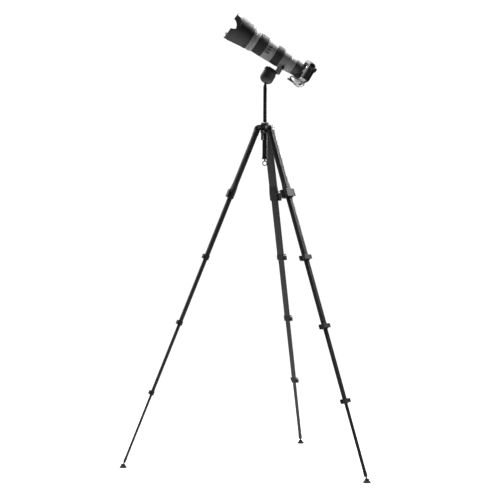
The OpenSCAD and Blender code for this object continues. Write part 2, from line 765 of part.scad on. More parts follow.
module speed_dial() {
    color("#3a3a3c") on_head() translate([dial_at[0], dial_at[1], 0]) {
        translate([0, 0, deck_z - 4]) cylinder(r = dial_shaft_r, h = 6);
        difference() {
            translate([0, 0, deck_z + part_gap]) cylinder(r = 8, h = 6);
            for (a = [0:15:345]) rotate([0, 0, a]) translate([8.3, 0, deck_z - 1]) cylinder(r = 0.7, h = 9);
        }
    }
}

module lens_release() {
    color("silver") on_head() translate([0, release_at[0], release_at[1]]) rotate([0, 90, 0]) {
        translate([0, 0, front_x - 4.5]) cylinder(r = 4, h = 2);
        translate([0, 0, front_x - 3]) cylinder(r = release_r, h = 5);
    }
}

// A loop of webbing under the body with a stiff end tab that points forwards
module strap() {
    loop_x = 105;
    loop_z = base_z - 11.2;
    loop_size = [50, 22];
    webbing_t = 2.2;
    color("#cfcfcb") on_head() {
        translate([0, strap_w / 2, 0]) rotate([90, 0, 0]) linear_extrude(strap_w) difference() {
            translate([loop_x, loop_z]) rotate(90) oval(loop_size[0], loop_size[1]);
            translate([loop_x, loop_z]) rotate(90)
                oval(loop_size[0] - 2 * webbing_t, loop_size[1] - 2 * webbing_t);
        }
        translate([72, -10, loop_z - 8.5]) cube([24, 20, 3.4]);
    }
}

for (n = [1:3], i = [1:5])
    leg_section(n - 1, i - 1);
for (n = [1:3], i = [1:4])
    lever(n - 1, i - 1);
for (n = [1:3])
    foot(n - 1);
spider();
leg_bolts();
column_sleeve();
centre_column();
column_lever();
column_hook();
ball_stem();
head_housing();
ball_knob();
quick_plate();
tripod_collar();
collar_knob();
lens_barrel();
grip_ring(focus_x, focus_r, focus_bore_r, 36);  // focus_ring
grip_ring(zoom_x, zoom_r, zoom_bore_r, 34);  // zoom_ring
lens_hood();
lens_glass();
lens_mount();
camera_body();
top_cover();
back_door();
mirror();
film_cassette();
take_up_spool();
rewind_knob();
wind_lever();
shutter_button();
speed_dial();
lens_release();
strap();
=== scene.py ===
"""Looks for the film camera with a long zoom lens on its five-section tripod."""
import json
import math

import bmesh
import bpy
from mathutils import Matrix, Vector


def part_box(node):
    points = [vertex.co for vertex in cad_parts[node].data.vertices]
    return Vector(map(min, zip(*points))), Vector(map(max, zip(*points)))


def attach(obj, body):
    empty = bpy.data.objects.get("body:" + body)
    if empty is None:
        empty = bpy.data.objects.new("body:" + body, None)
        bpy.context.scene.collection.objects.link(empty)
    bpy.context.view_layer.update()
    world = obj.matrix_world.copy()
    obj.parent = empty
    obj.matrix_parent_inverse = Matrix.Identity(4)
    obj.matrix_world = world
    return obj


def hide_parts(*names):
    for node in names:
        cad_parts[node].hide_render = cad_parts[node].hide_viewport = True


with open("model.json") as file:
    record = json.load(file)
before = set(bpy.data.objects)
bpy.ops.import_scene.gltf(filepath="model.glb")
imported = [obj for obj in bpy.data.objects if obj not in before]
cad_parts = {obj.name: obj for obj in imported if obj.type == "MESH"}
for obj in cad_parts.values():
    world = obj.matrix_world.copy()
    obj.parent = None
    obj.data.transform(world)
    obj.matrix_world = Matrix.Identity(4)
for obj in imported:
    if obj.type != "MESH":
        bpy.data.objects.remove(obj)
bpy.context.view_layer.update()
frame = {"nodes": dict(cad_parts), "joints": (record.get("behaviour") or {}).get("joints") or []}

NODES = frame["nodes"]
JOINTS = {joint["name"]: joint for joint in frame["joints"]}
MM = 0.001
LEGS = (1, 2, 3)
LOCKS = (1, 2, 3, 4)
SHARP_ANGLE = math.radians(32)


# ---- frames: all lengths below are in millimetres in one of these ----
def local_frame(origin, x_axis, z_axis):
    """A matrix from millimetres along local axes to metres in the row frame."""
    x = Vector(x_axis).normalized()
    z = Vector(z_axis).normalized()
    y = z.cross(x)
    turn = Matrix((x, y, z)).transposed().to_4x4()
    return Matrix.Translation(Vector(origin)) @ turn @ Matrix.Scale(MM, 4)


def local_box(node, matrix):
    """Lowest and highest corner of a CAD node along a local frame's own axes, in millimetres."""
    inverse = matrix.inverted()
    points = [inverse @ v.co for v in NODES[node].data.vertices]
    low = Vector([min(p[k] for p in points) for k in range(3)])
    high = Vector([max(p[k] for p in points) for k in range(3)])
    return low, high


HEAD = local_frame(JOINTS["tilt"]["pos_m"], JOINTS["lens_roll"]["axis"], JOINTS["door_swing"]["axis"])
AXIS_H = (HEAD.inverted() @ Vector(JOINTS["lens_roll"]["pos_m"])).z
LENS = HEAD @ Matrix.Translation((0, 0, AXIS_H))
LEG = {}
for leg in LEGS:
    spread, slide = JOINTS[f"leg_{leg}_spread"], JOINTS[f"leg_{leg}_slide_2"]
    outward = Vector(spread["axis"]).cross(Vector(slide["axis"]))
    LEG[leg] = local_frame(spread["pos_m"], outward, slide["axis"])
UPRIGHT = Matrix.Scale(MM, 4)


# ---- materials ----
class Nodes:
    """A small helper that adds shader nodes and links them."""

    def __init__(self, name):
        self.material = bpy.data.materials.new(name)
        self.material.use_nodes = True
        self.tree = self.material.node_tree
        self.shader = self.tree.nodes["Principled BSDF"]

    def add(self, kind, inputs=None, **settings):
        node = self.tree.nodes.new("ShaderNode" + kind)
        for key, value in settings.items():
            setattr(node, key, value)
        for key, value in (inputs or {}).items():
            if isinstance(value, bpy.types.NodeSocket):
                self.tree.links.new(value, node.inputs[key])
            else:
                node.inputs[key].default_value = value
        return node

    def link(self, source, name):
        self.tree.links.new(source, self.shader.inputs[name])

    def math(self, operation, a, b=0.0, c=0.0):
        return self.add("Math", {0: a, 1: b, 2: c}, operation=operation).outputs[0]

    def coordinates(self, matrix=UPRIGHT):
        """Object coordinates in a local frame, in millimetres."""
        place, turn, _ = matrix.decompose()
        source = self.add("TexCoord").outputs["Object"]
        inputs = {"Vector": source, "Location": place, "Rotation": turn.to_euler(), "Scale": (MM, MM, MM)}
        return self.add("Mapping", inputs, vector_type="TEXTURE").outputs[0]

    def stretch(self, vector, scale):
        return self.add("VectorMath", {0: vector, 1: scale}, operation="MULTIPLY").outputs[0]

    def noise(self, vector, size, detail=4.0, rough=0.55):
        """Fractal noise whose blobs are about size millimetres across."""
        inputs = {"Vector": vector, "Scale": 1.0 / size, "Detail": detail, "Roughness": rough}
        return self.add("TexNoise", inputs).outputs[0]

    def remap(self, value, low, high, start=0.3, end=0.7):
        inputs = {"Value": value, "From Min": start, "From Max": end, "To Min": low, "To Max": high}
        return self.add("MapRange", inputs).outputs[0]

    def mix(self, factor, a, b):
        node = self.add("Mix", data_type="RGBA")
        for index, value in ((0, factor), (6, a), (7, b)):
            if isinstance(value, bpy.types.NodeSocket):
                self.tree.links.new(value, node.inputs[index])
            else:
                node.inputs[index].default_value = value
        return node.outputs[2]

    def bump(self, height, depth, strength=1.0):
        """Bump whose full height is depth millimetres."""
        inputs = {"Height": height, "Distance": depth * MM, "Strength": strength}
        self.link(self.add("Bump", inputs).outputs[0], "Normal")


def grey(value, tint=(1.0, 1.0, 1.0)):
    return (value * tint[0], value * tint[1], value * tint[2], 1.0)


def between(n, value, low, high):
    """1 where value lies between low and high, otherwise 0."""
    return n.math("COMPARE", value, (low + high) / 2, (high - low) / 2)


def coated(name, light, dark, rough, grain, depth, matrix=UPRIGHT, metallic=0.0, worn=0.0, specular=0.5):
    """Paint or moulded plastic: mottled colour, a fine grain in the relief, and faint handling wear."""
    n = Nodes(name)
    place = n.coordinates(matrix)
    broad = n.noise(place, 34.0, 3.0)
    fine = n.noise(place, grain, 5.0, 0.6)
    colour = n.mix(n.remap(broad, 0.0, 1.0), dark, light)
    if worn:
        scuff = n.remap(n.noise(place, 9.0, 8.0, 0.72), 0.0, worn, 0.6, 0.78)
        colour = n.mix(scuff, colour, grey(0.42))
    n.link(colour, "Base Color")
    n.link(n.remap(fine, rough - 0.07, rough + 0.09), "Roughness")
    n.shader.inputs["Metallic"].default_value = metallic
    n.shader.inputs["Specular IOR Level"].default_value = specular
    n.bump(fine, depth)
    return n.material


def brushed(name, light, dark, rough, matrix=UPRIGHT, along=(1.0, 1.0, 0.03), depth=0.02):
    """Metal with fine lines along one local axis."""
    n = Nodes(name)
    place = n.coordinates(matrix)
    lines = n.noise(n.stretch(place, along), 0.5, 3.0)
    broad = n.noise(place, 22.0, 3.0)
    n.link(n.mix(n.remap(broad, 0.0, 1.0), dark, light), "Base Color")
    n.link(n.remap(lines, rough - 0.08, rough + 0.12), "Roughness")
    n.shader.inputs["Metallic"].default_value = 1.0
    n.bump(lines, depth)
    return n.material


FLARE = 27.0
CASTING_END = -24.0


def lock_spans(leg):
    """Where each lock housing starts and ends along a leg, in millimetres."""
    spans = []
    for lock in LOCKS:
        low, high = local_box(f"leg_{leg}_lever_{lock}", LEG[leg])
        flare = FLARE if lock == 1 else 0.0
        spans.append((low.z - 1.0, high.z + 1.0 + flare))
    return spans


def leg_material(leg):
    """Anodised oval tube, with moulded lock housings and a cast top on the same solids."""
    n = Nodes(f"leg_{leg}_tube_and_locks")
    place = n.coordinates(LEG[leg])
    height = n.add("SeparateXYZ", {0: place}).outputs[2]
    mask = n.math("GREATER_THAN", height, CASTING_END)
    for low, high in lock_spans(leg):
        mask = n.math("MAXIMUM", mask, between(n, height, low, high))
    lines = n.noise(n.stretch(place, (1.0, 1.0, 0.02)), 0.7, 3.0)
    broad = n.noise(n.stretch(place, (1.0, 1.0, 0.2)), 26.0, 3.0)
    moulded = n.noise(place, 0.35, 5.0, 0.6)
    tube = n.mix(n.remap(broad, 0.0, 1.0), grey(0.052), grey(0.076, (1.0, 1.0, 1.03)))
    scratch = n.remap(n.noise(n.stretch(place, (1.0, 1.0, 0.06)), 1.6, 6.0, 0.7), 0.0, 0.35, 0.66, 0.8)
    tube = n.mix(scratch, tube, grey(0.2))
    plastic = n.mix(n.remap(broad, 0.0, 1.0), grey(0.030), grey(0.042))
    n.link(n.mix(mask, tube, plastic), "Base Color")
    tube_rough = n.remap(lines, 0.26, 0.44)
    plastic_rough = n.remap(moulded, 0.5, 0.68)
    blend = n.math("MULTIPLY_ADD", mask, n.math("SUBTRACT", plastic_rough, tube_rough), tube_rough)
    n.link(blend, "Roughness")
    n.link(n.math("MULTIPLY_ADD", mask, -0.3, 0.3), "Metallic")
    relief = n.math("MULTIPLY_ADD", mask, n.math("SUBTRACT", moulded, lines), lines)
    n.bump(relief, 0.04)
    return n.material


BORE_R = 31.0
CONE_R = 36.0
CONE_END = -66.0
NOSE_BORE_R = 41.6
NOSE_END = -112.0


def barrel_material():
    """Light enamel outside, black flocked paint inside every bore."""
    n = Nodes("barrel_enamel")
    place = n.coordinates(LENS)
    split = n.add("SeparateXYZ", {0: place})
    station, across, up = split.outputs
    radius = n.math("SQRT", n.math("ADD", n.math("MULTIPLY", across, across), n.math("MULTIPLY", up, up)))
    bore = n.math("LESS_THAN", radius, BORE_R)
    cone = n.math("MULTIPLY", n.math("LESS_THAN", radius, CONE_R), n.math("LESS_THAN", station, CONE_END))
    ahead = n.math("LESS_THAN", station, NOSE_END)
    nose = n.math("MULTIPLY", n.math("LESS_THAN", radius, NOSE_BORE_R), ahead)
    inside = n.math("MAXIMUM", n.math("MAXIMUM", bore, cone), nose)
    broad = n.noise(place, 40.0, 3.0)
    fine = n.noise(place, 0.5, 5.0, 0.6)
    enamel = n.mix(n.remap(broad, 0.0, 1.0), grey(0.38, (1.0, 1.0, 0.97)), grey(0.45, (1.0, 1.0, 0.975)))
    scuff = n.remap(n.noise(place, 7.0, 8.0, 0.74), 0.0, 0.3, 0.64, 0.8)
    enamel = n.mix(scuff, enamel, grey(0.36))
    n.link(n.mix(inside, enamel, grey(0.012)), "Base Color")
    enamel_rough = n.remap(fine, 0.3, 0.44)
    n.link(n.math("MAXIMUM", enamel_rough, n.math("MULTIPLY", inside, 0.9)), "Roughness")
    n.bump(fine, 0.03)
    return n.material


DECK_T = 10.0
HUMP_HALF = 27.0
TUNNEL_X = 140.2
SHELL_FRONT = 110.0


def cover_material():
    """Top cover in two finishes: a light satin prism hump over a black deck."""
    n = Nodes("two_tone_cover")
    place = n.coordinates(HEAD)
    split = n.add("SeparateXYZ", {0: place})
    side = n.math("ABSOLUTE", split.outputs[1])
    low, _ = local_box("top_cover", HEAD)
    deck = low.z + DECK_T
    hump = n.math("LESS_THAN", side, HUMP_HALF + 0.2)
    front = n.math("LESS_THAN", split.outputs[0], TUNNEL_X)
    above = n.math("GREATER_THAN", split.outputs[2], deck + 0.15)
    forward = n.math("LESS_THAN", split.outputs[0], SHELL_FRONT - 0.1)
    light = n.math("MULTIPLY", n.math("MULTIPLY", hump, front), n.math("MAXIMUM", above, forward))
    broad = n.noise(place, 26.0, 3.0)
    fine = n.noise(place, 0.4, 5.0, 0.6)
    silver = n.mix(n.remap(broad, 0.0, 1.0), grey(0.56), grey(0.66))
    black = n.mix(n.remap(broad, 0.0, 1.0), grey(0.012), grey(0.02))
    brass = n.remap(n.noise(place, 5.0, 9.0, 0.75), 0.0, 0.4, 0.68, 0.82)
    black = n.mix(brass, black, (0.26, 0.2, 0.1, 1.0))
    n.link(n.mix(light, black, silver), "Base Color")
    n.link(n.math("MULTIPLY", light, 0.7), "Metallic")
    n.link(n.remap(fine, 0.26, 0.42), "Roughness")
    n.bump(fine, 0.02)
    return n.material


BASE_T = 0.8
BASE_SHARE = 0.86


def body_material():
    """Black body shell, with a pale satin base. BASE_SHARE of the depth, from the front, is pale."""
    n = Nodes("body_paint_and_base")
    place = n.coordinates(HEAD)
    low, high = local_box("camera_body", HEAD)
    split = n.add("SeparateXYZ", {0: place})
    front = n.math("LESS_THAN", split.outputs[0], low.x + BASE_SHARE * (high.x - low.x))
    base = n.math("MULTIPLY", n.math("LESS_THAN", split.outputs[2], low.z + BASE_T), front)
    broad = n.noise(place, 26.0, 3.0)
    fine = n.noise(place, 0.4, 5.0, 0.6)
    black = n.mix(n.remap(broad, 0.0, 1.0), grey(0.054), grey(0.070))
    satin = n.mix(n.remap(broad, 0.0, 1.0), grey(0.82), grey(0.9))
    scuff = n.remap(n.noise(place, 6.0, 8.0, 0.74), 0.0, 0.3, 0.64, 0.8)
    n.link(n.mix(scuff, n.mix(base, black, satin), grey(0.3)), "Base Color")
    n.link(n.math("MULTIPLY", base, 0.15), "Metallic")
    n.link(n.remap(fine, 0.42, 0.58), "Roughness")
    n.bump(fine, 0.02)
    return n.material


def leather_material():
    """Pebbled leatherette, with painted shade in the grooves between the pebbles."""
    n = Nodes("leatherette")
    place = n.coordinates(HEAD)
    wander = n.add("TexNoise", {"Vector": place, "Scale": 0.9}).outputs[1]
    shift = n.stretch(wander, (0.5, 0.5, 0.5))
    warped = n.add("VectorMath", {0: place, 1: shift}, operation="ADD").outputs[0]
    cells = n.add("TexVoronoi", {"Vector": warped, "Scale": 0.95}, feature="SMOOTH_F1").outputs[0]
    pores = n.noise(place, 0.25, 4.0)
    height = n.math("MULTIPLY_ADD", cells, -1.0, n.math("MULTIPLY", pores, 0.15))
    # Painted shade: the colour darkens from grey 0.070 on the pebble tops to 0.044 in the low grooves between
    # them.
    n.link(n.mix(n.remap(cells, 0.0, 1.0, 0.1, 0.8), grey(0.070), grey(0.044)), "Base Color")
    n.link(n.remap(cells, 0.6, 0.78, 0.1, 0.8), "Roughness")
    n.shader.inputs["Specular IOR Level"].default_value = 0.2
    n.bump(height, 0.25)
    return n.material


CORD_PITCH = 1.5
PICK_PITCH = 0.9


def webbing_material():
    """Pale nylon webbing: lengthwise cords with crossing picks, a soft sheen, and painted shade in the
    weave's hollows.
    """
    n = Nodes("strap_webbing")
    place = n.coordinates(HEAD)
    split = n.add("SeparateXYZ", {0: place})
    cords = n.math("SINE", n.math("MULTIPLY", split.outputs[1], 2 * math.pi / CORD_PITCH))
    run = n.math("ADD", split.outputs[0], split.outputs[2])
    picks = n.math("SINE", n.math("MULTIPLY", run, 2 * math.pi / PICK_PITCH))
    weave = n.math("MULTIPLY", cords, picks)
    fibre = n.noise(place, 0.3, 5.0)
    height = n.math("MULTIPLY_ADD", weave, 0.35, n.math("MULTIPLY_ADD", cords, 0.5, fibre))
    broad = n.noise(place, 12.0, 4.0)
    tone = n.mix(n.remap(broad, 0.0, 1.0), grey(0.72), grey(0.82))
    # Painted shade: the colour darkens to grey 0.55 where the weave's relief height is low.
    n.link(n.mix(n.remap(height, 0.0, 0.5, -0.2, 1.2), grey(0.55), tone), "Base Color")
    n.link(n.remap(fibre, 0.72, 0.9), "Roughness")
    n.shader.inputs["Transmission Weight"].default_value = 0.5
    n.shader.inputs["IOR"].default_value = 1.08
    n.shader.inputs["Sheen Weight"].default_value = 0.4
    n.shader.inputs["Sheen Roughness"].default_value = 0.5
    n.bump(height, 0.12)
    return n.material


def glass_material():
    """Multicoated glass: a clear element with a faint violet to green reflection."""
    n = Nodes("coated_glass")
    place = n.coordinates(LENS)
    facing = n.add("LayerWeight", {"Blend": 0.35}).outputs["Facing"]
    haze = n.noise(place, 18.0, 3.0)
    tint = n.mix(facing, (0.50, 0.44, 0.62, 1.0), (0.40, 0.60, 0.52, 1.0))
    n.link(n.mix(n.remap(haze, 0.0, 0.2), tint, grey(0.6)), "Base Color")
    n.link(n.remap(haze, 0.015, 0.05), "Roughness")
    n.shader.inputs["Transmission Weight"].default_value = 1.0
    n.shader.inputs["IOR"].default_value = 1.52
    n.shader.inputs["Coat Weight"].default_value = 0.6
    n.shader.inputs["Coat Roughness"].default_value = 0.03
    return n.material


def crackle_material():
    """Wrinkle paint over a casting, with painted shade along the creases."""
    n = Nodes("wrinkle_paint")
    place = n.coordinates()
    cells = n.add("TexVoronoi", {"Vector": place, "Scale": 0.7}, feature="DISTANCE_TO_EDGE").outputs[0]
    fine = n.noise(place, 0.5, 5.0)
    ridge_and_shade = n.remap(cells, 0.0, 1.0, 0.0, 0.25)
    # Painted shade: the colour darkens along the crease lines, where the ridge height is low.
    n.link(n.mix(ridge_and_shade, grey(0.034), grey(0.056)), "Base Color")
    n.link(n.remap(fine, 0.42, 0.6), "Roughness")
    n.bump(n.math("MULTIPLY_ADD", fine, 0.4, ridge_and_shade), 0.12)
    return n.material


FLOOR_GLOW = 0.04
FLOOR_SEEN = 0.9
FLOOR_DARK, FLOOR_LIGHT = 0.36, 0.42
FLOOR_MOTTLE = 900.0


def floor_material():
    """Mid grey for the light that it bounces, with a glow that shows it white to the camera only."""
    n = Nodes("studio_floor")
    mottle = n.noise(n.coordinates(), FLOOR_MOTTLE, 2.0)
    n.link(n.mix(n.remap(mottle, 0.0, 1.0), grey(FLOOR_DARK), grey(FLOOR_LIGHT)), "Base Color")
    n.shader.inputs["Roughness"].default_value = 0.9
    n.shader.inputs["Emission Color"].default_value = grey(1.0)
    seen = n.add("LightPath").outputs["Is Camera Ray"]
    n.link(n.math("MULTIPLY_ADD", seen, FLOOR_SEEN, FLOOR_GLOW), "Emission Strength")
    return n.material


TIN_LIGHT = (0.55, 0.47, 0.2, 1.0)
TIN_DARK = (0.45, 0.38, 0.15, 1.0)
M = {
    "rubber": coated("moulded_rubber", grey(0.042), grey(0.028), 0.74, 0.5, 0.06, specular=0.3),
    "plastic": coated("lever_plastic", grey(0.046), grey(0.032), 0.5, 0.4, 0.03, worn=0.25),
    "knob": coated("knob_plastic", grey(0.038), grey(0.026), 0.42, 0.5, 0.02),
    "head": coated("head_paint", grey(0.098), grey(0.076), 0.4, 0.5, 0.03, HEAD, worn=0.3),
    "grip": coated("grip_rubber", grey(0.085), grey(0.068), 0.68, 0.45, 0.05, LENS, specular=0.35),
    "hood": coated("hood_plastic", grey(0.018), grey(0.012), 0.5, 0.55, 0.04, LENS, worn=0.2, specular=0.9),
    "mount": coated("mount_paint", grey(0.110), grey(0.084), 0.38, 0.5, 0.02, LENS, worn=0.25),
    "trim": coated("black_trim", grey(0.072), grey(0.054), 0.5, 0.5, 0.02, HEAD, worn=0.2, specular=0.25),
    "body": body_material(),
    "collar": coated("collar_enamel", grey(0.38), grey(0.32), 0.36, 0.5, 0.03, LENS, worn=0.3),
    "panel": coated("panel_paint", grey(0.42), grey(0.35), 0.5, 0.4, 0.02, LENS),
    "tin": coated("cassette_tin", TIN_LIGHT, TIN_DARK, 0.35, 0.6, 0.02, HEAD, 0.5),
    "ink": coated("scale_ink", grey(0.78), grey(0.68), 0.5, 0.6, 0.01, LENS),
    "thread": coated("stitch_thread", grey(0.7), grey(0.5), 0.8, 0.2, 0.04, HEAD),
    "steel": brushed("brushed_steel", grey(0.72), grey(0.58), 0.28),
    "column": coated("column_anodised", grey(0.042), grey(0.030), 0.4, 0.7, 0.02, metallic=0.2),
    "gunmetal": brushed("gunmetal", grey(0.09), grey(0.06), 0.36),
    "ball": brushed("stem_chrome", grey(0.3), grey(0.22), 0.24, along=(1.0, 1.0, 12.0), depth=0.01),
    "mirror": brushed("mirror_silver", grey(0.9), grey(0.86), 0.1, HEAD, (0.2, 1.0, 0.2), 0.002),
    "barrel": barrel_material(),
    "cover": cover_material(),
    "leather": leather_material(),
    "webbing": webbing_material(),
    "glass": glass_material(),
    "crackle": crackle_material(),
}
for leg in LEGS:
    M[f"leg_{leg}"] = leg_material(leg)


# ---- mesh tools ----
def mark_sharp(bm):
    bmesh.ops.recalc_face_normals(bm, faces=bm.faces)
    for face in bm.faces:
        face.smooth = True
    for edge in bm.edges:
        if len(edge.link_faces) == 2 and edge.calc_face_angle() > SHARP_ANGLE:
            edge.smooth = False


def piece(name, bm, matrix, material, body):
    """Turns a bmesh in local millimetres into a named piece that rides on a CAD body."""
    bmesh.ops.remove_doubles(bm, verts=bm.verts, dist=1e-4)
    mark_sharp(bm)
    bm.transform(matrix)
    mesh = bpy.data.meshes.new(name)
    bm.to_mesh(mesh)
    bm.free()
    mesh.materials.append(M[material])
    made = bpy.data.objects.new(name, mesh)
    bpy.context.scene.collection.objects.link(made)
    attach(made, body)
    return made


def closed_grid(bm, rows, wrap_rows=True):
    """Joins rows of points, each a closed loop, into a skin. The first and last rows join when wrap_rows."""
    rings = [[bm.verts.new(p) for p in row] for row in rows]
    last = len(rings) if wrap_rows else len(rings) - 1
    for r in range(last):
        a, b = rings[r], rings[(r + 1) % len(rings)]
        for k in range(len(a)):
            m = (k + 1) % len(a)
            corners = [a[k], a[m], b[m], b[k]]
            if len({tuple(c.co) for c in corners}) > 2:
                bm.faces.new(corners)
    if not wrap_rows:
        bm.faces.new(list(reversed(rings[0])))
        bm.faces.new(rings[-1])


def revolve(bm, profile, steps=96, relief=None):
    """A ring about local X from a closed profile of (station, radius).

    relief(k, station, angle) lowers the radius of profile point k.
    """
    rows = []
    for k, (station, radius) in enumerate(profile):
        row = []
        for s in range(steps):
            angle = 2 * math.pi * s / steps
            r = radius - (relief(k, station, angle) if relief else 0.0)
            row.append((station, r * math.cos(angle), r * math.sin(angle)))
        rows.append(row)
    closed_grid(bm, rows)


def rounded_outline(wide, tall, radius, steps=6):
    """Points round a rectangle with round corners, centred on the origin."""
    points = []
    for corner, (sx, sy) in enumerate(((1, 1), (-1, 1), (-1, -1), (1, -1))):
        for s in range(steps + 1):
            a = math.radians(90 * corner + 90 * s / steps)
            x = sx * (wide / 2 - radius) + radius * math.cos(a)
            y = sy * (tall / 2 - radius) + radius * math.sin(a)
            points.append((x, y))
    return points


def block(bm, centre, size, radius=0.4, edge=0.25):
    """A box with round corners and softened rims, its thickness along local Z."""
    x, y, z = centre
    wide, deep, tall = size
    levels = ((-tall / 2, edge), (-tall / 2 + edge, 0.0), (tall / 2 - edge, 0.0), (tall / 2, edge))
    rows = []
    for level, inset in levels:
        outline = rounded_outline(wide - 2 * inset, deep - 2 * inset, max(radius - inset, 0.05))
        rows.append([(x + px, y + py, z + level) for px, py in outline])
    closed_grid(bm, rows, wrap_rows=False)


def disc(bm, centre, axis, radius, height, edge=0.3, steps=32, recess=0.0):
    """A round button or screw head that stands from centre along a unit axis, with an optional hex recess."""
    axis = Vector(axis).normalized()
    side = axis.orthogonal().normalized()
    other = axis.cross(side)
    angles = [2 * math.pi * s / steps for s in range(steps)]

    def ring(level, radii):
        middle = Vector(centre) + axis * level
        return [middle + (side * math.cos(a) + other * math.sin(a)) * r for a, r in zip(angles, radii)]

    levels = ((0.0, radius), (height - edge, radius), (height, radius - edge))
    rows = [ring(level, [r] * steps) for level, r in levels]
    if recess:
        hexagon = [0.5 * radius / math.cos((a % (math.pi / 3)) - math.pi / 6) for a in angles]
        rows += [ring(level, hexagon) for level in (height, height - recess)]
    closed_grid(bm, rows, wrap_rows=False)


def tube(bm, points, radius, steps=8, closed=False):
    """A round tube through points."""
    points = [Vector(p) for p in points]
    count = len(points)
    rows = []
    normal = None
    for k, point in enumerate(points):
        before = points[k - 1] if closed or k > 0 else point
        after = points[(k + 1) % count] if closed or k < count - 1 else point
        forward = (after - before).normalized()
        if normal is None:
            normal = forward.orthogonal().normalized()
        normal = (normal - forward * normal.dot(forward)).normalized()
        other = forward.cross(normal)
        ring = []
        for s in range(steps):
            a = 2 * math.pi * s / steps
            ring.append(point + (normal * math.cos(a) + other * math.sin(a)) * radius)
        rows.append(ring)
    closed_grid(bm, rows, wrap_rows=closed)


def curved_panel(bm, x0, x1, middle, half, inner, outer, steps=14):
    """A plate wrapped on the lens barrel between two stations. Angles are in degrees from +Y towards +Z."""
    rows = []
    insets = ((inner, 0.0), (outer - 0.15, 0.0), (outer, 0.25))
    for radius, inset in insets:
        angle_in = math.degrees(inset / outer)
        ring = []
        low, high = middle - half + angle_in, middle + half - angle_in
        sweep = [low + (high - low) * s / steps for s in range(steps + 1)]
        for station, angles in ((x0 + inset, sweep), (x1 - inset, reversed(sweep))):
            for a in angles:
                ring.append((station, radius * math.cos(math.radians(a)), radius * math.sin(math.radians(a))))
        rows.append(ring)
    rings = [[bm.verts.new(p) for p in row] for row in rows]
    for a, b in zip(rings, rings[1:]):
        for k in range(len(a)):
            m = (k + 1) % len(a)
            bm.faces.new([a[k], a[m], b[m], b[k]])
    for ring in (rings[0], rings[-1]):
        for s in range(steps):
            far = len(ring) - 1 - s
            bm.faces.new([ring[s], ring[s + 1], ring[far - 1], ring[far]])


def smooth_loop(points, per_span=8):
    """A closed Catmull-Rom curve through points in two dimensions."""
    made = []
    count = len(points)
    for k in range(count):
        p0, p1, p2, p3 = (Vector(points[(k + j - 1) % count]) for j in range(4))
        for s in range(per_span):
            t = s / per_span
            made.append(0.5 * (2 * p1 + (p2 - p0) * t + (2 * p0 - 5 * p1 + 4 * p2 - p3) * t * t
                               + (3 * p1 - p0 - 3 * p2 + p3) * t ** 3))
    return made


def figures(name, text, size, place, material, body):
    """Raised generic scale figures. place(x, y, z) puts a point of the flat text in local millimetres."""
    curve = bpy.data.curves.new(name + "_outline", "FONT")
    curve.body = text
    curve.size = size
    curve.extrude = 0.05
    curve.resolution_u = 2
    curve.align_x = "CENTER"
    curve.align_y = "CENTER"
    holder = bpy.data.objects.new(name + "_outline", curve)
    bpy.context.scene.collection.objects.link(holder)
    bpy.context.view_layer.update()
    evaluated = holder.evaluated_get(bpy.context.evaluated_depsgraph_get())
    mesh = evaluated.to_mesh()
    bm = bmesh.new()
    bm.from_mesh(mesh)
    evaluated.to_mesh_clear()
    bpy.data.objects.remove(holder)
    for vert in bm.verts:
        vert.co = place(*vert.co)
    return piece(name, bm, HEAD, material, body)


# ---- CAD nodes: finishes only ----
def paint(node, material):
    mesh = NODES[node].data
    mesh.materials.clear()
    mesh.materials.append(M[material])


FINISHES = {
    "spider": "crackle", "leg_bolts": "steel", "column_sleeve": "column", "centre_column": "column",
    "column_lever": "plastic", "column_hook": "gunmetal", "ball_stem": "ball", "head_housing": "head",
    "ball_knob": "knob", "quick_plate": "head", "tripod_collar": "collar", "collar_knob": "knob",
    "lens_barrel": "barrel", "lens_hood": "hood", "lens_glass": "glass", "lens_mount": "mount",
    "camera_body": "body", "top_cover": "cover", "back_door": "trim", "mirror": "mirror",
    "film_cassette": "tin", "take_up_spool": "knob", "rewind_knob": "trim", "wind_lever": "steel",
    "shutter_button": "steel", "speed_dial": "trim", "lens_release": "steel",
    "focus_ring": "grip", "zoom_ring": "grip", "strap": "webbing",
}
for node, finish in FINISHES.items():
    paint(node, finish)
for leg in LEGS:
    for section in range(1, 6):
        paint(f"leg_{leg}_section_{section}", f"leg_{leg}")
    for lock in LOCKS:
        paint(f"leg_{leg}_lever_{lock}", "plastic")
    paint(f"leg_{leg}_foot", "rubber")


# ---- tripod details ----
def lever_ribs(leg, lock):
    """Three grip ribs on the thumb tab."""
    low, high = local_box(f"leg_{leg}_lever_{lock}", LEG[leg])
    bm = bmesh.new()
    for rib in range(3):
        y = high.y - 4.2 - 2.1 * rib
        tube(bm, [(high.x - 0.25, y, low.z + 2.4), (high.x - 0.25, y, high.z - 2.4)], 0.5)
    piece(f"leg_{leg}_lever_{lock}_ribs", bm, LEG[leg], "plastic", f"leg_{leg}_lever_{lock}")


def lock_screws(leg, lock):
    """A bright socket screw at each end of a lever's pivot."""
    pivot = LEG[leg].inverted() @ Vector(JOINTS[f"leg_{leg}_lever_{lock}_flip"]["pos_m"])
    low, high = local_box(f"leg_{leg}_lever_{lock}", LEG[leg])
    bm = bmesh.new()
    for z, way in ((low.z - 1.0, -1), (high.z + 1.0, 1)):
        disc(bm, (pivot.x, pivot.y, z - 0.05 * way), (0, 0, way), 2.4, 0.4, edge=0.15, recess=0.25)
    piece(f"leg_{leg}_lock_{lock}_screws", bm, LEG[leg], "steel", f"leg_{leg}_section_{lock}")


TAB_X = 11.3


